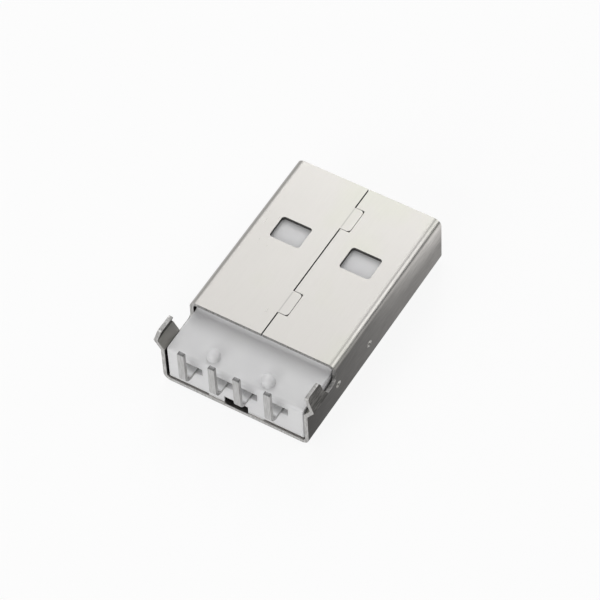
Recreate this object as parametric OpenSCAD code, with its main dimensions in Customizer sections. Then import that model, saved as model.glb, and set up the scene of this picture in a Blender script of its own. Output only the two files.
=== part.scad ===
// Board-mount USB-A plug: a folded sheet shell with a clinched seam, a moulded
// insulator with two locating pegs, and four bent contacts.
// The plug lies on its plain face, with the face that meets the board upwards.
// X runs across the plug, +Y towards the mating end, Z = 0 is the plain face.
// The origin is under the middle of the whole part.

/* [Shell] */
// Outside width of the shell
shell_width = 12; // [11.6:0.1:13]
// Outside height of the shell
shell_height = 4.5; // [4.4:0.1:5.2]
// Length of the shell from its rear edge to the mating end
shell_length = 18.9; // [18:0.1:22]
// Thickness of the sheet
sheet = 0.3; // [0.2:0.05:0.35]
// Outside radius of the shell's folds
fold_radius = 0.6; // [0.45:0.05:0.9]
// Length of the open stretch behind the seamed wall
rear_opening = 3.9; // [3.2:0.1:4.4]
// Height of the side walls along the open stretch
low_wall = 2.8; // [2.4:0.1:3.1]
// Radius of the inside corner where a side wall steps down
step_radius = 0.4; // [0.2:0.1:0.6]

/* [Seam] */
// Width of the open seam
seam_gap = 0.1; // [0.06:0.02:0.16]
// Width of the fine gap round an interlock tab
clinch_gap = 0.04; // [0.03:0.01:0.08]
// Reach of an interlock tab past the seam
tab_reach = 0.75; // [0.5:0.05:1]
// Length of an interlock tab
tab_length = 2.15; // [1.6:0.05:2.6]
// Radius of a tab's far corners
tab_corner = 0.28; // [0.15:0.01:0.4]
// Radius of the far corners of a tab's notch
notch_corner = 0.1; // [0.05:0.01:0.15]
// Distance from the mating end to the middle of the first tab
front_tab = 3.05; // [2.6:0.05:3.6]
// Distance from the first tab's middle to the second's
tab_spacing = 8.65; // [8:0.05:9]

/* [Latch windows] */
// Width of a window
window_width = 2.5; // [2.2:0.1:2.8]
// Length of a window
window_length = 2.05; // [1.8:0.05:2.3]
// Distance from the mating end to a window's near edge
window_setback = 5.15; // [4.9:0.05:5.4]
// Distance between the middles of the two windows of a wall
window_pitch = 5.8; // [5.6:0.1:6]
// Corner radius of a window
window_corner = 0.25; // [0.1:0.05:0.4]

/* [Board locks] */
// Width of a lock where it leaves the side wall
lock_width = 2.05; // [1.8:0.05:2.3]
// Height at which a lock starts to lean outwards
lock_root = 3.3; // [3.2:0.05:3.5]
// Height of the kink above the root
lock_kink_rise = 0.8; // [0.6:0.1:1]
// Reach of the kink past the side wall
lock_spread = 0.55; // [0.3:0.05:0.6]
// Height of the lock's tip above the kink
lock_tip_rise = 1.4; // [1.2:0.1:1.8]
// Reach of the tip past the side wall
lock_tip_spread = 0.1; // [0:0.05:0.3]
// Width of a lock at its tip
lock_tip_width = 1.65; // [1.2:0.05:1.75]
// Radius of the tip's corners
lock_tip_corner = 0.3; // [0.1:0.05:0.45]

/* [Stake dimples] */
// Diameter of a dimple on the outside of the side wall
dimple_diameter = 0.6; // [0.5:0.05:0.8]
// Depth of a dimple
dimple_depth = 0.2; // [0.12:0.02:0.22]
// Gap between a dimple's inner bump and the insulator
bump_gap = 0.03; // [0.02:0.01:0.05]
// Distance of the front dimple from the shell's rear edge
front_dimple_y = 8.5; // [7.5:0.1:8.8]
// Height of the front dimple
front_dimple_z = 1.9; // [1.5:0.1:2.3]
// Distance of the rear dimple from the shell's rear edge
rear_dimple_y = 4.2; // [3.4:0.1:5]
// Height of the rear dimple
rear_dimple_z = 2.2; // [1.5:0.1:2.3]

/* [Insulator] */
// Gap between the insulator and each side wall
side_gap = 0.12; // [0.08:0.01:0.2]
// Gap between the tongue and the seamed wall
top_gap = 0.05; // [0.03:0.01:0.1]
// Height of the board seat above the plain face
seat_height = 3.6; // [3.5:0.1:3.8]
// Setback of the insulator's rear face from the shell's rear edge
rear_setback = 0.1; // [0.05:0.05:0.3]
// Length of the lower rear stretch, from the shell's rear edge
seat_length = 4.3; // [3.9:0.1:5]
// Depth of the mating hollow from the mating end
hollow_depth = 9.4; // [9:0.1:9.8]
// Height of the mating hollow between the plain wall and the contact faces
hollow_height = 1.95; // [1.85:0.05:2.05]
// Setback of the tongue's front end from the mating end
tongue_setback = 0.4; // [0.2:0.1:0.8]
// Chamfer on the tongue's front lower edge
tongue_chamfer = 0.45; // [0.2:0.05:0.6]
// Radius of the block's rear upright corners
block_corner = 0.12; // [0.05:0.01:0.3]
// Radius of the block's rear top edge
seat_edge = 0.3; // [0.15:0.05:0.45]
// Radius of the inside corner where the seat rises to the tongue
seat_fillet = 0.45; // [0.4:0.05:0.5]
// Width of the foot that stands on the plain wall
foot_width = 4.56; // [3.5:0.1:5.5]
// Lift of the underside beside the foot
foot_lift = 0.15; // [0.08:0.01:0.2]
// Width of the pocket in the foot
pocket_width = 1.95; // [1.5:0.05:2.4]
// Height of the pocket in the foot
pocket_height = 0.65; // [0.4:0.05:0.8]
// Depth of the pocket in the foot
pocket_depth = 1.2; // [0.6:0.1:2]

/* [Locating pegs] */
// Diameter of a peg
peg_diameter = 1; // [0.8:0.05:1.2]
// Height of a peg above the board seat
peg_height = 0.75; // [0.6:0.05:1]
// Height of the domed end of a peg
peg_dome = 0.3; // [0.2:0.05:0.4]
// Distance between the pegs' middles
peg_spacing = 4.5; // [4:0.1:5]
// Distance of the pegs from the shell's rear edge
peg_y = 1.05; // [0.95:0.05:1.4]

/* [Contacts] */
// Distance between the middles of the outer contacts
outer_pitch = 7; // [6.8:0.1:7.2]
// Distance between the middles of the inner contacts
inner_pitch = 2; // [1.9:0.05:2.1]
// Thickness of a contact
contact_thickness = 0.3; // [0.2:0.02:0.32]
// Width of a contact on the tongue
beam_width = 1; // [0.8:0.05:1.2]
// Width of a contact where the block holds it
grip_width = 1.6; // [1.3:0.05:1.7]
// Width of a contact's tail
tail_width = 0.55; // [0.45:0.05:0.7]
// Reach of the tails behind the shell's rear edge
tail_reach = 1.2; // [1.05:0.05:1.8]
// Height of the tails' tips above the plain face
tail_height = 5.7; // [5.2:0.1:6.2]
// Outside radius of a tail's bend
tail_bend = 0.8; // [0.5:0.05:0.9]
// Chamfer beside a tail's tip
tail_chamfer = 0.08; // [0.04:0.01:0.12]
// Setback of an outer contact's front end from the mating end
outer_tip_setback = 1.6; // [1.3:0.1:2]
// How much further back an inner contact's front end lies
inner_tip_lag = 1; // [0.8:0.1:1.2]
// Distance of the grip's rear end from the shell's rear edge
grip_start = 0.6; // [0.5:0.1:1]
// Length of the grip
grip_length = 3; // [2:0.1:4]
// Stand of a contact's face proud of the tongue
face_stand = 0.05; // [0.02:0.01:0.08]
// Clearance all round a contact in its passage
passage_gap = 0.03; // [0.02:0.01:0.05]
// Height of the open mouth above a contact at the rear face
mouth_rise = 0.38; // [0.2:0.02:0.5]
// Depth of the mouth from the block's rear face
mouth_depth = 0.45; // [0.3:0.05:0.8]

/* [Hidden] */
$fn = 48;
slack = 1;
inner_radius = max(fold_radius - sheet, 0.05);
roof = shell_height - sheet;
block_half = shell_width / 2 - sheet - side_gap;
tongue_top = roof - top_gap;
contact_face = sheet + hollow_height;
tongue_face = contact_face + face_stand;
beam_height = contact_face + contact_thickness / 2;
block_front = shell_length - hollow_depth;
tongue_front = shell_length - tongue_setback;
kink_height = lock_root + lock_kink_rise;
tip_height = kink_height + lock_tip_rise;
rear_y = -(shell_length - tail_reach) / 2;

// A point halfway along a mitre at b, the thickness t to the left of a-b-c.
function unit(v) = v / norm(v);
function left_of(v) = [-v[1], v[0]];
function mitre(a, b, c, t) =
    let (n1 = left_of(unit(b - a)), n2 = left_of(unit(c - b)), m = unit(n1 + n2))
    b + m * t / (m * n1);

// Moves a piece drawn from the shell's rear edge to the part's own frame.
module in_frame() {
    translate([0, rear_y, 0])
        children();
}

// Extrudes an outline drawn in X and Z along Y.
module along_y(from, to) {
    translate([0, to, 0])
        rotate([90, 0, 0])
            linear_extrude(height = to - from)
                children();
}

// Extrudes an outline drawn in Y and Z along X, centred on x.
module along_x(x, width) {
    translate([x - width / 2, 0, 0])
        rotate([90, 0, 90])
            linear_extrude(height = width)
                children();
}

// A square from one corner to the other, given as [x, y] pairs.
module area(low, high) {
    translate(low)
        square(high - low);
}

// A rounded rectangle from one corner to the other.
module round_area(low, high, r) {
    area(low + [r, 0], high - [r, 0]);
    area(low + [0, r], high - [0, r]);
    for (x = [low[0] + r, high[0] - r])
        for (y = [low[1] + r, high[1] - r])
            translate([x, y])
                circle(r);
}

// The folded section: a rounded tube of even thickness.
module shell_section() {
    difference() {
        round_area([-shell_width / 2, 0], [shell_width / 2, shell_height], fold_radius);
        round_area([-shell_width / 2 + sheet, sheet], [shell_width / 2 - sheet, roof], inner_radius);
    }
}

// What is cut away behind the seamed wall, in side view.
module rear_cutaway() {
    area([-slack, low_wall + step_radius], [rear_opening, shell_height + slack]);
    area([-slack, low_wall], [rear_opening - step_radius, shell_height]);
    translate([rear_opening - step_radius, low_wall + step_radius])
        circle(step_radius);
}

// Plan of one interlock tab, grown by g all round, with far corners of radius r.
module tab_plan(g, r) {
    far = tab_reach + g;
    half = tab_length / 2 + g;
    area([-seam_gap / 2, -half], [far - r, half]);
    area([0, -half + r], [far, half - r]);
    for (y = [-half + r, half - r])
        translate([far - r, y])
            circle(r);
}

// Places children at the middle of each interlock tab.
module at_tabs() {
    for (i = [0, 1])
        translate([0, shell_length - front_tab - i * tab_spacing])
            children();
}

// The seam in plan: an open slit with a fine gap round each tab.
module seam_plan() {
    difference() {
        area([-seam_gap / 2, -slack], [seam_gap / 2, shell_length + slack]);
        at_tabs()
            area([-seam_gap, -tab_length / 2], [seam_gap, tab_length / 2]);
    }
    at_tabs()
        difference() {
            tab_plan(clinch_gap, notch_corner);
            tab_plan(0, tab_corner);
        }
}

// The latch windows in plan, the same in both broad walls.
module window_plan() {
    front = shell_length - window_setback;
    for (side = [-1, 1])
        translate([side * window_pitch / 2, 0])
            round_area([-window_width / 2, front - window_length], [window_width / 2, front], window_corner);
}

// Section of the right board lock, the sheet's thickness inside its outer line.
module lock_section() {
    wall = shell_width / 2;
    foot = [wall, low_wall - step_radius];
    root = [wall, lock_root];
    kink = [wall + lock_spread, kink_height];
    tip = [wall + lock_tip_spread, tip_height];
    lean = left_of(unit(tip - kink));
    polygon([
        foot, root, kink, tip, tip + lean * sheet,
        mitre(root, kink, tip, sheet),
        mitre(foot, root, kink, sheet),
        foot - [sheet, 0]
    ]);
}

// Outline of a board lock in side view, narrowed at the front to a rounded tip.
module lock_outline() {
    neck = kink_height + lock_tip_rise / 2;
    area([0, 0], [lock_width, kink_height]);
    polygon([[0, kink_height], [lock_width, kink_height], [lock_tip_width, neck], [0, neck]]);
    intersection() {
        round_area([0, neck - lock_tip_corner * 2], [lock_tip_width, tip_height], lock_tip_corner);
        area([0, neck], [lock_tip_width, tip_height + sheet]);
    }
}

// The right board lock.
module board_lock() {
    intersection() {
        along_y(0, lock_width)
            lock_section();
        along_x(shell_width / 2, slack * 2)
            lock_outline();
    }
}

// Places children at both stake dimples of the right side wall's outer face.
module at_dimples() {
    for (p = [[front_dimple_y, front_dimple_z], [rear_dimple_y, rear_dimple_z]])
        translate([shell_width / 2, p[0], p[1]])
            children();
}

// A ball that dips the depth d below the wall and is w wide at its face.
module dimple_ball(w, d) {
    r = (w * w / 4 + d * d) / (2 * d);
    translate([r - d, 0, 0])
        sphere(r);
}

// Material pushed inwards behind the dimples of the right side wall.
module dimple_bumps() {
    at_dimples()
        intersection() {
            translate([-sheet, 0, 0])
                dimple_ball(dimple_diameter + sheet, side_gap - bump_gap);
            translate([-sheet, 0, 0])
                cube([sheet, slack * 2, slack * 2], center = true);
        }
}

// The folded shell with its seam, windows, dimples and board locks.
module shell() {
    color("gainsboro")
        in_frame() {
            difference() {
                union() {
                    along_y(0, shell_length)
                        shell_section();
                    for (side = [0, 1])
                        mirror([side, 0, 0])
                            dimple_bumps();
                }
                along_x(0, shell_width + slack)
                    rear_cutaway();
                translate([0, 0, roof - sheet / 2])
                    linear_extrude(height = sheet * 2)
                        seam_plan();
                translate([0, 0, -slack])
                    linear_extrude(height = shell_height + slack * 2)
                        window_plan();
                for (side = [0, 1])
                    mirror([side, 0, 0])
                        at_dimples()
                            dimple_ball(dimple_diameter, dimple_depth);
            }
            for (side = [0, 1])
                mirror([side, 0, 0])
                    board_lock();
        }
}

// Side view of a contact of the thickness t, with its front end at tip.
module contact_side(tip, t) {
    low = beam_height - t / 2;
    bend = tail_bend + (t - contact_thickness) / 2;
    middle = [-tail_reach + tail_bend, low + bend];
    area([middle[0], low], [tip, low + t]);
    intersection() {
        translate(middle)
            difference() {
                circle(bend);
                circle(bend - t);
            }
        area(middle - [bend, bend], middle);
    }
    area([middle[0] - bend, middle[1]], [middle[0] - bend + t, tail_height]);
}

// Plan of a contact, grown by g all round.
module contact_plan(tip, g) {
    grip_end = grip_start + grip_length;
    area([-tail_width / 2 - g, -tail_reach - slack], [tail_width / 2 + g, grip_start]);
    area([-grip_width / 2 - g, grip_start - g], [grip_width / 2 + g, grip_end + g]);
    area([-beam_width / 2 - g, grip_end], [beam_width / 2 + g, tip]);
}

// Front end of the contact whose middle is at x.
function tip_y(x) =
    shell_length - outer_tip_setback - (abs(x) < outer_pitch / 2 - slack ? inner_tip_lag : 0);

// One contact: beam, grip, bend and upturned tail.
module contact(x) {
    color("silver")
        in_frame()
            translate([x, 0, 0])
                difference() {
                    intersection() {
                        along_x(0, grip_width)
                            contact_side(tip_y(x), contact_thickness);
                        linear_extrude(height = tail_height)
                            contact_plan(tip_y(x), 0);
                    }
                    for (side = [-1, 1])
                        translate([side * tail_width / 2, -tail_reach, tail_height])
                            rotate([0, 45, 0])
                                cube([tail_chamfer * sqrt(2), slack * 2, tail_chamfer * sqrt(2)], center = true);
                }
}

// The passage that holds the contact whose middle is at x, with its open mouth.
module passage(x) {
    room = contact_thickness + passage_gap * 2;
    low = beam_height - room / 2;
    half = grip_width / 2 + passage_gap;
    translate([x, 0, low]) {
        linear_extrude(height = room)
            contact_plan(tip_y(x) + passage_gap, passage_gap);
        linear_extrude(height = room)
            area([-half, -slack], [half, grip_start]);
        linear_extrude(height = room + mouth_rise)
            area([-half, -slack], [half, rear_setback + mouth_depth]);
    }
}

// The fillet at the seat's front end, in side view.
module seat_corner() {
    r = min(seat_fillet, tongue_top - seat_height);
    difference() {
        area([seat_length - r, seat_height - r], [seat_length + r, seat_height + r]);
        translate([seat_length - r, seat_height + r])
            circle(r);
    }
}

// Side view of the insulator: rear block, step and tongue.
module insulator_side() {
    area([rear_setback, sheet], [seat_length, seat_height - seat_edge]);
    area([rear_setback + seat_edge, sheet], [seat_length, seat_height]);
    translate([rear_setback + seat_edge, seat_height - seat_edge])
        circle(seat_edge);
    area([seat_length, sheet], [block_front, tongue_top]);
    seat_corner();
    polygon([
        [block_front, tongue_face], [tongue_front - tongue_chamfer, tongue_face],
        [tongue_front, tongue_face + tongue_chamfer], [tongue_front, tongue_top],
        [block_front, tongue_top]
    ]);
}

// Plan of the insulator with its rear upright corners rounded.
module insulator_plan() {
    area([-block_half, rear_setback + block_corner], [block_half, shell_length]);
    area([-block_half + block_corner, rear_setback], [block_half - block_corner, shell_length]);
    for (side = [-1, 1])
        translate([side * (block_half - block_corner), rear_setback + block_corner])
            circle(block_corner);
}

// What keeps the insulator clear of the folds, seen along Y.
module insulator_section() {
    corner = inner_radius;
    round_area([-block_half, sheet], [block_half, tongue_top], corner);
}

// A locating peg with a domed end, standing on the board seat.
module peg() {
    r = peg_diameter / 2;
    dome = (r * r + peg_dome * peg_dome) / (2 * peg_dome);
    rotate_extrude()
        intersection() {
            union() {
                area([0, -seat_edge], [r, peg_height - peg_dome]);
                translate([0, peg_height - dome])
                    circle(dome);
            }
            area([0, -seat_edge], [r, peg_height]);
        }
}

// The moulded insulator: block, tongue, pegs, passages, foot and pocket.
module insulator() {
    color("whitesmoke")
        in_frame() {
            difference() {
                intersection() {
                    along_x(0, shell_width)
                        insulator_side();
                    linear_extrude(height = shell_height)
                        insulator_plan();
                    along_y(-slack, shell_length)
                        insulator_section();
                }
                for (x = [-outer_pitch, -inner_pitch, inner_pitch, outer_pitch] / 2)
                    passage(x);
                for (side = [0, 1])
                    mirror([side, 0, 0])
                        translate([foot_width / 2, -slack, 0])
                            cube([shell_width, slack + rear_opening, sheet + foot_lift]);
                translate([-pocket_width / 2, -slack, 0])
                    cube([pocket_width, slack + rear_setback + pocket_depth, sheet + pocket_height]);
            }
            for (side = [-1, 1])
                translate([side * peg_spacing / 2, peg_y, seat_height])
                    peg();
        }
}

module left_power_contact() contact(-outer_pitch / 2);
module left_signal_contact() contact(-inner_pitch / 2);
module right_signal_contact() contact(inner_pitch / 2);
module right_power_contact() contact(outer_pitch / 2);

shell();
insulator();
left_power_contact();
left_signal_contact();
right_signal_contact();
right_power_contact();
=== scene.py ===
"""Looks of a board-mount USB-A plug: folded shell, moulded insulator, bent contacts."""

import logging
import math
from dataclasses import dataclass, field
from enum import Enum, IntEnum

import bmesh
import bpy
from mathutils import Matrix, Vector


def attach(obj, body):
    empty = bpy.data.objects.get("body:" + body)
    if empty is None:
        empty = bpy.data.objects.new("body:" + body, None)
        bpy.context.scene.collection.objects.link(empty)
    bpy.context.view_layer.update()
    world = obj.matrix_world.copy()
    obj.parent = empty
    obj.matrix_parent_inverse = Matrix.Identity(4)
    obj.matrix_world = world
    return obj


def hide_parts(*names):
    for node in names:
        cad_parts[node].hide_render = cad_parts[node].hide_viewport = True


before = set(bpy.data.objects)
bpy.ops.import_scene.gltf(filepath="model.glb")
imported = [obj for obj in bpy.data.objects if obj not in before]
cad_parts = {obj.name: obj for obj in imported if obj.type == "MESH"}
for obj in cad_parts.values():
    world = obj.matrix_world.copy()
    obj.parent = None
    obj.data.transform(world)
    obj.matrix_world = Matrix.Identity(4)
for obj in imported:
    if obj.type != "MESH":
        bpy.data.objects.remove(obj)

MM = 0.001
LOG = logging.getLogger("plug")

Span = tuple[float, float]
Triple = tuple[float, float, float]
Colour = tuple[float, float, float, float]
Signal = bpy.types.NodeSocket
Value = Signal | float | Triple | Colour

# Where a noise mostly stays, out of 0 to 1.
NOISE: Span = (0.3, 0.7)
# Width in millimetres over which a mask fades.
SOFT = 0.05
WHITE: Colour = (1.0, 1.0, 1.0, 1.0)
# How many times as much blue a warm colour loses as it gains red.
BLUE_LOSS = 1.6


class Socket(Enum):
    """Sockets of the standard surface shader that a finish drives."""

    BASE = "Base Color"
    METAL = "Metallic"
    ROUGH = "Roughness"
    NORMAL = "Normal"
    TINT = "Specular Tint"
    SCATTER = "Subsurface Weight"
    DEPTH = "Subsurface Scale"
    SPREAD = "Subsurface Radius"


class Side(IntEnum):
    """Kinds of face on the folded sheet, in the order of its materials."""

    PLATE = 0
    SHEARED = 1
    SEAM = 2
    PIERCED = 3


@dataclass(frozen=True)
class Grain:
    """A noise: its grains per millimetre along X, Y and Z, its finer layers and their strength."""

    size: Triple
    detail: float = 3.0
    rough: float = 0.55


class Nodes:
    """A small builder for one material's node tree."""

    def __init__(self, name: str) -> None:
        """Makes an empty material called name."""
        self.material = bpy.data.materials.new(name)
        self.material.use_nodes = True
        self.tree = self.material.node_tree
        self.shader = self.tree.nodes["Principled BSDF"]
        where = self.add("ShaderNodeTexCoord")
        self.place, self.facing = where.outputs["Object"], where.outputs["Normal"]

    def add(self, kind: str, **values: object) -> bpy.types.Node:
        """Adds one node.

        Args:
            kind: the node's type name.
            values: attributes to set on it.

        Returns:
            The new node.
        """
        node = self.tree.nodes.new(kind)
        for key, value in values.items():
            setattr(node, key, value)
        return node

    def link(self, source: Signal, target: Signal) -> None:
        """Links a source socket to a target socket."""
        self.tree.links.new(source, target)

    def feed(self, target: Signal, value: Value) -> None:
        """Feeds an input socket.

        Args:
            target: the input socket.
            value: an output socket to link, or what the input is set to.
        """
        if isinstance(value, Signal):
            self.link(value, target)
        else:
            target.default_value = value

    def scaled(self, size: Triple) -> Signal:
        """Gives the piece's own coordinates in millimetres, times size along each axis.

        Args:
            size: the factor along X, Y and Z.

        Returns:
            The scaled coordinates.
        """
        mapping = self.add("ShaderNodeMapping")
        mapping.inputs["Scale"].default_value = [factor / MM for factor in size]
        self.link(self.place, mapping.inputs["Vector"])
        return mapping.outputs["Vector"]

    def part(self, vector: Signal, axis: str) -> Signal:
        """Gives one component of a vector.

        Args:
            vector: the vector.
            axis: X, Y or Z.

        Returns:
            The component.
        """
        node = self.add("ShaderNodeSeparateXYZ")
        self.link(vector, node.inputs[0])
        return node.outputs[axis]

    def own(self, axis: str) -> Signal:
        """Gives one of the piece's own coordinates in millimetres."""
        return self.part(self.scaled((1.0, 1.0, 1.0)), axis)

    def noise(self, grain: Grain) -> Signal:
        """Gives a grey noise.

        Args:
            grain: its size and its layers.

        Returns:
            The noise, from 0 to 1.
        """
        node = self.add("ShaderNodeTexNoise")
        self.link(self.scaled(grain.size), node.inputs["Vector"])
        node.inputs["Scale"].default_value = 1.0
        node.inputs["Detail"].default_value = grain.detail
        node.inputs["Roughness"].default_value = grain.rough
        return node.outputs["Fac"]

    def maths(self, operation: str, *values: Value) -> Signal:
        """Gives the result of one arithmetic step.

        Args:
            operation: the step's name.
            values: what it works on.

        Returns:
            The result.
        """
        node = self.add("ShaderNodeMath", operation=operation)
        for socket, value in zip(node.inputs, values):
            self.feed(socket, value)
        return node.outputs[0]

    def times(self, first: Value, *others: Value) -> Value:
        """Gives the product of all the values.

        Args:
            first: the first value.
            others: the rest.

        Returns:
            The product.
        """
        for other in others:
            first = self.maths("MULTIPLY", first, other)
        return first

    def band(self, value: Signal, ends: Span, to: Span = (0.0, 1.0)) -> Signal:
        """Maps a value from one range to another, held at both ends.

        Args:
            value: the value.
            ends: the range that it comes from.
            to: the range that it goes to.

        Returns:
            The mapped value.
        """
        node = self.add("ShaderNodeMapRange", clamp=True)
        self.feed(node.inputs["Value"], value)
        for key, number in zip(("From Min", "From Max", "To Min", "To Max"), (*ends, *to)):
            node.inputs[key].default_value = number
        return node.outputs[0]

    def above(self, value: Signal, limit: float, soft: float = SOFT) -> Signal:
        """Gives a mask that rises from the limit on and is full past its soft edge."""
        return self.band(value, (limit, limit + soft))

    def below(self, value: Signal, limit: float, soft: float = SOFT) -> Signal:
        """Gives a mask that is full up to the limit and falls over its soft edge."""
        return self.band(value, (limit, limit + soft), (1.0, 0.0))

    def mix(self, factor: Value, first: Value, second: Value) -> Signal:
        """Gives a colour between two others.

        Args:
            factor: 0 for the first colour, 1 for the second.
            first: the first colour.
            second: the second colour.

        Returns:
            The mixed colour.
        """
        node = self.add("ShaderNodeMix", data_type="RGBA")
        colours = [socket for socket in node.inputs if socket.type == "RGBA"]
        for socket, value in zip((node.inputs[0], *colours), (factor, first, second)):
            self.feed(socket, value)
        return next(socket for socket in node.outputs if socket.type == "RGBA")

    def bump(self, height: Signal, depth_mm: float, strength: float) -> Signal:
        """Gives a normal pushed by a height map.

        Args:
            height: the height map.
            depth_mm: how deep it goes.
            strength: how much of it is used.

        Returns:
            The pushed normal.
        """
        node = self.add("ShaderNodeBump")
        self.feed(node.inputs["Height"], height)
        node.inputs["Distance"].default_value = depth_mm * MM
        node.inputs["Strength"].default_value = strength
        return node.outputs["Normal"]

    def dress(self, **values: Value) -> bpy.types.Material:
        """Feeds the surface shader, by the names of Socket.

        Args:
            values: a number, colour or socket for each name.

        Returns:
            The finished material.
        """
        for key, value in values.items():
            self.feed(self.shader.inputs[Socket[key].value], value)
        return self.material


def grey(level: float, warm: float = 0.0) -> Colour:
    """Gives a linear colour; warm is the share of red that it gains."""
    return (level * (1 + warm), level, level * (1 - BLUE_LOSS * warm), 1.0)


@dataclass(frozen=True)
class PlatedSheet:
    """Satin plate over rolled sheet, with painted shade on the flanks, darker towards the rear, a painted
    highlight near the top fold and painted reflection streaks on the locks.

    Places are in millimetres, and grains are counted per millimetre.
    """

    name: str = "plated_sheet"
    level: float = 0.545
    warm: float = 0.027
    yellowing: float = 0.9
    edge_tint: float = 0.6
    roughness: Span = (0.29, 0.38)
    grain: Grain = Grain((9.0, 0.6, 9.0), 4.0, 0.65)
    grain_ends: Span = (0.3, 0.75)
    grain_share: float = 0.18
    grain_level: float = 0.9
    patches: Grain = Grain((0.16, 0.12, 0.16), 2.0)
    patch_ends: Span = (0.52, 0.72)
    patch_roughness: Span = (-0.03, 0.03)
    grain_height: float = 0.5
    streak_height: float = 2.0
    relief_mm: float = 0.005
    relief_share: float = 0.3

    # Painted shade: the flanks' colour is dark and brownish, rising from the rear to the mating end.
    flank_turn: Span = (0.8, 0.97)
    flank_shade_ends: Span = (-9.0, 9.0)
    flank_shade_levels: Span = (0.07, 0.31)
    flank_shade_tint: Triple = (1.0, 0.965, 0.93)
    streaks: Grain = Grain((1.2, 0.9, 7.0), 4.0, 0.7)
    streak_levels: Span = (0.82, 1.15)
    # Painted highlight: the flanks are made lighter near the top fold, more so towards the mating end.
    fold_highlight: float = 1.6
    fold_highlight_along: Span = (0.0, 9.5)
    fold_highlight_upwards: Span = (2.0, 4.3)

    lock_foot: float = 3.2
    lock_front: float = -6.7
    lock_fade: float = 0.2
    # Painted reflection: strong light and dark streaks on the locks.
    lock_reflection_ends: Span = (0.42, 0.6)
    lock_reflection_levels: Span = (0.2, 1.4)

    tab_middles: Span = (7.0, -1.65)
    tab_half: float = 1.0
    crease_half: float = 0.02
    crease_above: float = 4.3
    crease_fade: float = 0.1
    crease_share: float = 0.3
    crease_level: float = 0.1
    crease_depth: float = 1.5

    def crease(self, n: Nodes) -> Signal:
        """Gives the fine coined line that carries the seam across each tab, as a mask."""
        line = n.below(n.maths("ABSOLUTE", n.own("X")), self.crease_half)
        spans = [
            n.below(n.maths("ABSOLUTE", n.maths("SUBTRACT", n.own("Y"), middle)), self.tab_half)
            for middle in self.tab_middles
        ]
        high = n.above(n.own("Z"), self.crease_above, self.crease_fade)
        return n.times(line, n.maths("ADD", *spans), high)

    def broad(self, n: Nodes, grain: Signal, patches: Signal) -> Signal:
        """Gives the colour of the two broad walls.

        Args:
            n: the material's nodes.
            grain: the rolling grain.
            patches: the large faint patches.

        Returns:
            The colour.
        """
        yellowed = (self.level, self.level, self.level * self.yellowing, 1.0)
        tint = n.mix(n.band(patches, self.patch_ends), grey(self.level, self.warm), yellowed)
        share = n.band(grain, self.grain_ends, (0.0, self.grain_share))
        return n.mix(share, tint, grey(self.level * self.grain_level, self.warm))

    def flank_painted_light(self, n: Nodes, streaks: Signal) -> Signal:
        """Gives the colour of the side walls and of the locks that grow from them, with painted shade, a
        painted highlight near the top fold and painted reflection streaks on the locks.

        Args:
            n: the material's nodes.
            streaks: the marks that the die drew, which also carry painted reflection streaks on the locks.

        Returns:
            The colour.
        """
        on_lock = n.times(n.above(n.own("Z"), self.lock_foot, self.lock_fade),
                          n.below(n.own("Y"), self.lock_front))
        on_wall = n.maths("SUBTRACT", 1.0, on_lock)
        # Mild die marks on the walls; painted reflection streaks on the locks.
        marks = n.maths("ADD", n.times(n.band(streaks, NOISE, self.streak_levels), on_wall),
                        n.times(n.band(streaks, self.lock_reflection_ends, self.lock_reflection_levels), on_lock))
        # Painted highlight near the top fold.
        fold_highlight = n.times(n.band(n.own("Y"), self.fold_highlight_along),
                       n.band(n.own("Z"), self.fold_highlight_upwards, (0.0, self.fold_highlight)))
        # Painted shade: the flanks' dark colour, darker towards the rear.
        level = n.times(n.band(n.own("Y"), self.flank_shade_ends, self.flank_shade_levels), marks,
                        n.maths("ADD", fold_highlight, 1.0))
        colour = n.add("ShaderNodeCombineColor")
        for key, share in zip(("Red", "Green", "Blue"), self.flank_shade_tint):
            n.feed(colour.inputs[key], n.times(level, share))
        return colour.outputs[0]

    def material(self) -> bpy.types.Material:
        """Builds the material."""
        n = Nodes(self.name)
        grain = n.noise(self.grain)
        patches = n.noise(self.patches)
        streaks = n.noise(self.streaks)
        crease = self.crease(n)
        on_flank = n.band(n.maths("ABSOLUTE", n.part(n.facing, "X")), self.flank_turn)
        # Faces turned sideways take the painted-shade flank colour.
        base = n.mix(on_flank, self.broad(n, grain, patches), self.flank_painted_light(n, streaks))
        base = n.mix(n.times(crease, self.crease_share), base, grey(self.crease_level))
        rough = n.maths("ADD", n.band(grain, NOISE, self.roughness),
                        n.band(patches, NOISE, self.patch_roughness))
        height = n.maths("SUBTRACT", n.times(grain, self.grain_height), n.times(crease, self.crease_depth))
        height = n.maths("ADD", height, n.times(streaks, on_flank, self.streak_height))
        return n.dress(BASE=base, METAL=1.0, ROUGH=rough, TINT=grey(self.edge_tint),
                       NORMAL=n.bump(height, self.relief_mm, self.relief_share))


@dataclass(frozen=True)
class ShearedEdge:
    """The cut edge of the sheet, where burnished streaks lie beside dull torn ones."""

    name: str = "sheared_edge"
    level: float = 0.55
    warm: float = 0.01
    torn: float = 0.6
    torn_warm: float = 0.02
    streaks: Grain = Grain((7.0, 7.0, 1.2), rough=0.7)
    streak_ends: Span = (0.35, 0.7)
    roughness: Span = (0.38, 0.6)
    relief_mm: float = 0.012
    relief_share: float = 0.6

    def material(self) -> bpy.types.Material:
        """Builds the material."""
        n = Nodes(self.name)
        streaks = n.noise(self.streaks)
        torn = grey(self.level * self.torn, self.torn_warm)
        base = n.mix(n.band(streaks, self.streak_ends), grey(self.level, self.warm), torn)
        return n.dress(BASE=base, METAL=1.0, ROUGH=n.band(streaks, NOISE, self.roughness),
                       NORMAL=n.bump(streaks, self.relief_mm, self.relief_share))


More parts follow.
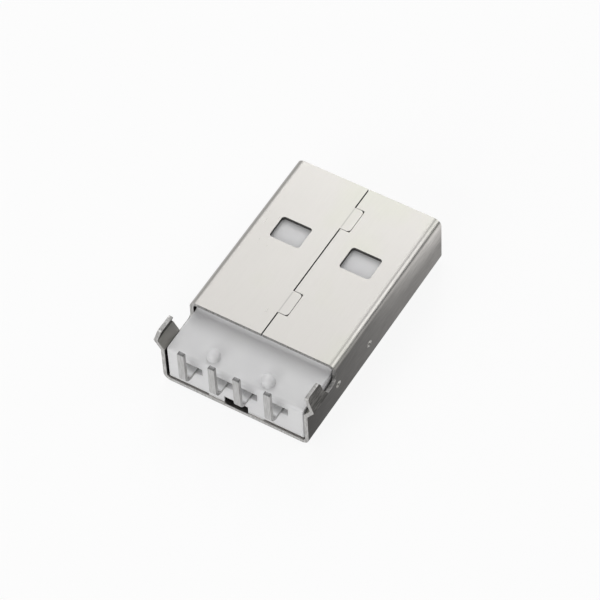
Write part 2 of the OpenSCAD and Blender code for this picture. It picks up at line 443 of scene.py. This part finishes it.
@dataclass(frozen=True)
class SeamWall:
    """The walls of the open seam, painted near black as shade, with a faint mottle."""

    name: str = "seam_wall"
    # Painted shade: near black, with a faint mottle.
    level: float = 0.02
    shade_mottle_level: float = 0.04
    shade_mottle: Grain = Grain((6.0, 6.0, 6.0), 2.0)
    roughness: float = 0.8

    def material(self) -> bpy.types.Material:
        """Builds the material."""
        n = Nodes(self.name)
        base = n.mix(n.noise(self.shade_mottle), grey(self.level), grey(self.shade_mottle_level))
        return n.dress(BASE=base, METAL=0.0, ROUGH=self.roughness)


@dataclass(frozen=True)
class MouldedPlastic:
    """Smooth, slightly milky white plastic, with near-black painted shade in the pocket under the rear
    block.

    Places are in millimetres, and grains are counted per millimetre.
    """

    name: str = "white_plastic"
    level: float = 0.73
    cloud: Grain = Grain((0.35, 0.35, 0.35))
    cloud_ends: Span = (0.35, 0.7)
    cloud_tint: Triple = (0.95, 0.945, 0.955)
    roughness: Span = (0.37, 0.48)
    fine: Grain = Grain((14.0, 14.0, 14.0), rough=0.6)
    fine_height: float = 0.4
    sink: Grain = Grain((1.6, 1.6, 1.6), 2.0)
    relief_mm: float = 0.006
    relief_share: float = 0.35
    milky: float = 0.5
    milky_mm: float = 0.6
    milky_shares: Triple = (1.0, 1.0, 1.0)

    # Painted shade: the pocket under the rear block is given a near-black colour.
    pocket_half: float = 1.0
    pocket_top: float = 1.0
    pocket_mouth: float = -8.6
    pocket_end: float = -7.5
    pocket_fade: float = 0.12
    pocket_shade_level: float = 0.02

    def pocket_shade(self, n: Nodes) -> Signal:
        """Gives the inside of the pocket, where shade is painted, as a mask."""
        across = n.below(n.maths("ABSOLUTE", n.own("X")), self.pocket_half)
        low = n.below(n.own("Z"), self.pocket_top)
        past_mouth = n.above(n.own("Y"), self.pocket_mouth - self.pocket_fade, self.pocket_fade)
        before_end = n.below(n.own("Y"), self.pocket_end)
        return n.times(across, low, past_mouth, before_end)

    def material(self) -> bpy.types.Material:
        """Builds the material."""
        n = Nodes(self.name)
        clouded = (*(self.level * share for share in self.cloud_tint), 1.0)
        base = n.mix(n.band(n.noise(self.cloud), self.cloud_ends), grey(self.level), clouded)
        # Painted shade in the pocket.
        base = n.mix(self.pocket_shade(n), base, grey(self.pocket_shade_level))
        fine = n.noise(self.fine)
        height = n.maths("ADD", n.times(fine, self.fine_height), n.noise(self.sink))
        return n.dress(BASE=base, METAL=0.0, ROUGH=n.band(fine, NOISE, self.roughness),
                       SCATTER=self.milky, DEPTH=self.milky_mm * MM, SPREAD=self.milky_shares,
                       NORMAL=n.bump(height, self.relief_mm, self.relief_share))


@dataclass(frozen=True)
class TinnedContact:
    """Dull tin over copper alloy, cropped dark at the tip, with gold plate on the mating stretch and a
    painted highlight on the faces that look up, low on the contact.

    Places are in millimetres, and grains are counted per millimetre.
    """

    name: str = "plated_contact"
    level: float = 0.55
    warm: float = 0.005
    worn: float = 0.75
    worn_warm: float = 0.01
    # Painted highlight: faces that look up, low on the contact, are made lighter.
    top_highlight: float = 0.85
    top_highlight_below: float = 4.0
    top_highlight_fade: float = 0.5
    top_highlight_turn: Span = (0.5, 0.9)
    cropped: float = 0.2
    cropped_from: float = 5.6
    cropped_fade: float = 0.08
    gold: Colour = (0.86, 0.62, 0.27, 1.0)
    gold_from: float = 0.4
    gold_fade: float = 0.2
    roughness: Span = (0.36, 0.5)
    grain: Grain = Grain((10.0, 1.2, 1.2), rough=0.6)
    relief_mm: float = 0.008
    relief_share: float = 0.5

    def material(self) -> bpy.types.Material:
        """Builds the material."""
        n = Nodes(self.name)
        grain = n.noise(self.grain)
        worn = grey(self.level * self.worn, self.worn_warm)
        base = n.mix(n.band(grain, NOISE), grey(self.level, self.warm), worn)
        # Painted highlight on the faces that look up, low on the contact.
        facing_up = n.band(n.part(n.facing, "Z"), self.top_highlight_turn)
        low = n.below(n.own("Z"), self.top_highlight_below, self.top_highlight_fade)
        base = n.mix(n.times(facing_up, low), base, grey(self.top_highlight))
        tip = n.above(n.own("Z"), self.cropped_from, self.cropped_fade)
        base = n.mix(tip, base, grey(self.cropped))
        base = n.mix(n.above(n.own("Y"), self.gold_from, self.gold_fade), base, self.gold)
        return n.dress(BASE=base, METAL=1.0, ROUGH=n.band(grain, NOISE, self.roughness),
                       NORMAL=n.bump(grain, self.relief_mm, self.relief_share))


@dataclass(frozen=True)
class Lamp:
    """A rectangular lamp that faces the plug; its level is the radiance of its face."""

    name: str
    place_mm: Triple
    size_mm: Span
    level: float

    def build(self) -> bpy.types.Object:
        """Hangs the lamp."""
        data = bpy.data.lights.new(self.name, "AREA")
        data.shape = "RECTANGLE"
        data.size, data.size_y = (side * MM for side in self.size_mm)
        data.energy = self.level * math.pi * data.size * data.size_y
        lamp = bpy.data.objects.new(self.name, data)
        place = Vector(self.place_mm) * MM
        lamp.location = place
        lamp.rotation_euler = (-place).to_track_quat("-Z", "Y").to_euler()
        bpy.context.scene.collection.objects.link(lamp)
        return lamp


@dataclass
class Studio:
    """Floor, lamps, world and camera."""

    aim_mm: Triple = (-0.146, 0.386, 2.25)
    distance_mm: float = 244.444
    azimuth: float = 33.4114
    elevation: float = 52.4651
    roll: float = 3.2740
    lens: float = 205.402
    sensor: float = 36.0
    clip_m: Span = (0.01, 10.0)

    right_level: float = 0.3
    horizon: float = 0.45
    zenith: float = 0.58
    sky_reach: float = 0.8

    floor_half_m: float = 3.0
    floor_gap_mm: float = 0.02
    floor_level: float = 0.9
    floor_roughness: float = 0.8
    whiteness: float = 0.88

    lamps: tuple[Lamp, ...] = (
        Lamp("sky", (-168, 254, 396), (420, 420), 0.55),
        Lamp("key", (-196, 431, 297), (160, 160), 6.4),
        Lamp("front", (-40, -330, 150), (300, 200), 2.9),
        Lamp("rim", (280, 254, 325), (270, 270), 1.7),
    )

    def camera(self) -> bpy.types.Object:
        """Places the camera and makes it the scene's own."""
        data = bpy.data.cameras.new("view")
        data.lens, data.sensor_width = self.lens, self.sensor
        data.clip_start, data.clip_end = self.clip_m
        camera = bpy.data.objects.new("view", data)
        turn = (
            Matrix.Rotation(math.radians(self.azimuth), 4, "Z")
            @ Matrix.Rotation(math.radians(90 - self.elevation), 4, "X")
            @ Matrix.Rotation(math.radians(-self.roll), 4, "Z")
        )
        away = turn @ Vector((0, 0, self.distance_mm * MM))
        camera.matrix_world = Matrix.Translation(Vector(self.aim_mm) * MM + away) @ turn
        bpy.context.scene.collection.objects.link(camera)
        bpy.context.scene.camera = camera
        return camera

    def paint(self) -> bpy.types.Material:
        """Makes the floor's paint: near white to the eye, and clear from below.

        Returns:
            The material.
        """
        n = Nodes("floor_paint")
        n.dress(BASE=grey(self.floor_level), ROUGH=self.floor_roughness)
        rays = n.add("ShaderNodeLightPath").outputs
        seen = n.maths("MAXIMUM", rays["Is Camera Ray"], rays["Is Glossy Ray"])
        seen = n.maths("MAXIMUM", seen, rays["Is Transmission Ray"])
        glow = n.add("ShaderNodeEmission")
        glow.inputs["Color"].default_value = WHITE
        glow.inputs["Strength"].default_value = 1.0
        clear = n.add("ShaderNodeBsdfTransparent")
        below = n.add("ShaderNodeNewGeometry").outputs["Backfacing"]
        surface = n.shader.outputs[0]
        for share, other in ((n.times(seen, self.whiteness), glow), (below, clear)):
            blend = n.add("ShaderNodeMixShader")
            for socket, source in zip(blend.inputs, (share, surface, other.outputs[0])):
                n.link(source, socket)
            surface = blend.outputs[0]
        n.link(surface, n.tree.nodes["Material Output"].inputs["Surface"])
        return n.material

    def floor(self) -> bpy.types.Object:
        """Makes the plain pale floor, just under the plug."""
        mesh = bpy.data.meshes.new("floor")
        shape = bmesh.new()
        bmesh.ops.create_grid(shape, x_segments=1, y_segments=1, size=self.floor_half_m)
        bmesh.ops.translate(shape, verts=shape.verts, vec=(0, 0, -self.floor_gap_mm * MM))
        shape.to_mesh(mesh)
        shape.free()
        mesh.materials.append(self.paint())
        floor = bpy.data.objects.new("floor", mesh)
        bpy.context.scene.collection.objects.link(floor)
        return floor

    def world(self) -> bpy.types.World:
        """Lights the plug from all round, less from the horizon and from its right."""
        world = bpy.data.worlds.new("studio")
        world.use_nodes = True
        tree = world.node_tree
        sky = tree.nodes["Background"]
        split = tree.nodes.new("ShaderNodeSeparateXYZ")
        tree.links.new(tree.nodes.new("ShaderNodeTexCoord").outputs["Generated"], split.inputs[0])
        both = tree.nodes.new("ShaderNodeMath")
        both.operation = "MULTIPLY"
        levels = {"X": (1.0, self.right_level), "Z": (self.horizon, self.zenith)}
        for socket, (axis, ends) in zip(both.inputs, levels.items()):
            ramp = tree.nodes.new("ShaderNodeMapRange")
            ramp.inputs["From Max"].default_value = self.sky_reach
            ramp.inputs["To Min"].default_value, ramp.inputs["To Max"].default_value = ends
            tree.links.new(split.outputs[axis], ramp.inputs["Value"])
            tree.links.new(ramp.outputs[0], socket)
        tree.links.new(both.outputs[0], sky.inputs["Strength"])
        sky.inputs["Color"].default_value = WHITE
        bpy.context.scene.world = world
        return world

    def build(self) -> None:
        """Sets the whole stage."""
        self.camera()
        self.floor()
        self.world()
        for lamp in self.lamps:
            lamp.build()


@dataclass
class Finished:
    """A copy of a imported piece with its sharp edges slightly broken."""

    node: str
    slot: str
    edge_mm: float
    segments: int = 2
    merge_m: float = 1e-6
    flat_degrees: float = 1
    sharp_degrees: float = 32
    smooth_degrees: float = 40

    def mesh(self) -> bpy.types.Mesh:
        """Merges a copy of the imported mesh, breaks its sharp edges and smooths it.

        Returns:
            The new mesh.
        """
        shape = bmesh.new()
        shape.from_mesh(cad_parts[self.node].data)
        bmesh.ops.remove_doubles(shape, verts=shape.verts, dist=self.merge_m)
        bmesh.ops.dissolve_limit(shape, angle_limit=math.radians(self.flat_degrees), verts=shape.verts,
                                 edges=shape.edges)
        limit = math.radians(self.sharp_degrees)
        sharp = [e for e in shape.edges if len(e.link_faces) == 2 and e.calc_face_angle(0.0) > limit]
        bmesh.ops.bevel(shape, geom=sharp, offset=self.edge_mm * MM, offset_type="OFFSET",
                        segments=self.segments, profile=0.5, affect="EDGES", clamp_overlap=True, material=-1)
        bmesh.ops.recalc_face_normals(shape, faces=shape.faces)
        for face in shape.faces:
            face.smooth = True
        mesh = bpy.data.meshes.new(self.node + "_finish")
        shape.to_mesh(mesh)
        shape.free()
        mesh.set_sharp_from_angle(angle=math.radians(self.smooth_degrees))
        return mesh

    def build(self, *finishes: bpy.types.Material) -> bpy.types.Object:
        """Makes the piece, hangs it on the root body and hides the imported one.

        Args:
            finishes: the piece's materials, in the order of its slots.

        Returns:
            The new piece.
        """
        piece = bpy.data.objects.new(self.node + "_finish", self.mesh())
        for finish in finishes:
            piece.data.materials.append(finish)
        bpy.context.scene.collection.objects.link(piece)
        piece.modifiers.new("weigh", "WEIGHTED_NORMAL").keep_sharp = True
        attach(piece, "root")
        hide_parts(self.node)
        LOG.info("%s: %d faces", piece.name, len(piece.data.polygons))
        return piece


@dataclass
class Shell:
    """The folded shell. Sizes are in millimetres, and turns are components of a normal."""

    finishes: dict[Side, PlatedSheet | ShearedEdge | SeamWall] = field(default_factory=lambda: {
        Side.PLATE: PlatedSheet(),
        Side.SHEARED: ShearedEdge(),
        Side.SEAM: SeamWall(),
        # The edges of the pierced windows: the cut edge made far darker, as painted shade.
        Side.PIERCED: ShearedEdge("pierced_edge", 0.15),
    })
    edge: float = 0.02
    thickness: float = 0.3
    width: float = 12.0
    height: float = 4.5
    fold: float = 0.65
    slack: float = 0.02
    seam_half: float = 0.08
    tab_zone: float = 1.0
    window_middle: float = 2.9
    window_zone: float = 1.4
    window_ends: Span = (2.5, 5.5)
    end_faces_from: float = 8.75
    wall_zone: Span = (0.7, 4.0)
    lengthwise_turn: float = 0.7
    other_turn: float = 0.6
    upright_turn: float = 0.5
    seam_turn: float = 0.3

    def lengthwise(self, x: float, y: float, z: float) -> Side:
        """Chooses the finish of a cut face that looks along the plug.

        Args:
            x: the distance of its middle from the plug's middle plane.
            y: its place along the plug.
            z: its height.

        Returns:
            The kind of face.
        """
        if abs(y) > self.end_faces_from or self.wall_zone[0] < z < self.wall_zone[1]:
            return Side.SHEARED
        # Window edges take the darker pierced edge, which is painted shade.
        if abs(x - self.window_middle) < self.window_zone and self.window_ends[0] < y < self.window_ends[1]:
            return Side.PIERCED
        return Side.SHEARED if x > self.tab_zone else Side.PLATE

    def side_of(self, middle: Vector, normal: Vector) -> Side:
        """Chooses a face's finish.

        Args:
            middle: the face's middle, in metres.
            normal: its outward direction.

        Returns:
            The kind of face.
        """
        x, y, z = abs(middle.x) / MM, middle.y / MM, middle.z / MM
        turn_x, turn_y, turn_z = (abs(turn) for turn in normal)
        if turn_y > self.lengthwise_turn and max(turn_x, turn_z) < self.other_turn:
            return self.lengthwise(x, y, z)
        wall = self.thickness + self.slack
        in_roof = z > self.height - wall and x < self.width / 2 - self.thickness
        if in_roof and x < self.tab_zone:
            return Side.SEAM if x < self.seam_half and turn_x > self.seam_turn else Side.PLATE
        if z < wall or in_roof:
            # Window edges take the darker pierced edge, which is painted shade.
            in_window = x < self.width / 2 - self.fold and turn_z < self.upright_turn
            return Side.PIERCED if in_window else Side.PLATE
        on_rim = x > self.width / 2 - wall and z > self.wall_zone[0] and turn_x < self.upright_turn
        return Side.SHEARED if on_rim else Side.PLATE

    def build(self) -> bpy.types.Object:
        """Makes the piece and gives each face its finish."""
        finishes = [self.finishes[side].material() for side in Side]
        piece = Finished("shell", "plated_sheet", self.edge).build(*finishes)
        for face in piece.data.polygons:
            face.material_index = self.side_of(face.center, face.normal)
        return piece


@dataclass
class Insulator:
    """The white moulding. Its edge is in millimetres."""

    plastic: MouldedPlastic = field(default_factory=MouldedPlastic)
    edge: float = 0.05

    def build(self) -> bpy.types.Object:
        """Makes the piece."""
        return Finished("insulator", "white_plastic", self.edge, segments=3).build(self.plastic.material())


@dataclass
class Contacts:
    """The four bent contacts. Their edge is in millimetres."""

    plate: TinnedContact = field(default_factory=TinnedContact)
    edge: float = 0.025
    names: tuple[str, ...] = (
        "left_power_contact",
        "left_signal_contact",
        "right_signal_contact",
        "right_power_contact",
    )

    def build(self) -> list[bpy.types.Object]:
        """Makes the pieces."""
        plate = self.plate.material()
        return [Finished(name, "plated_contact", self.edge).build(plate) for name in self.names]


def main() -> None:
    """Builds the stage and the plug."""
    logging.basicConfig(level=logging.INFO, format="%(name)s: %(message)s")
    bpy.context.scene.view_settings.view_transform = "Standard"
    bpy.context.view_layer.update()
    Studio().build()
    for assembly in (Shell(), Insulator(), Contacts()):
        assembly.build()
        LOG.info("%s is in place", type(assembly).__name__)


if __name__ == "__main__":
    main()
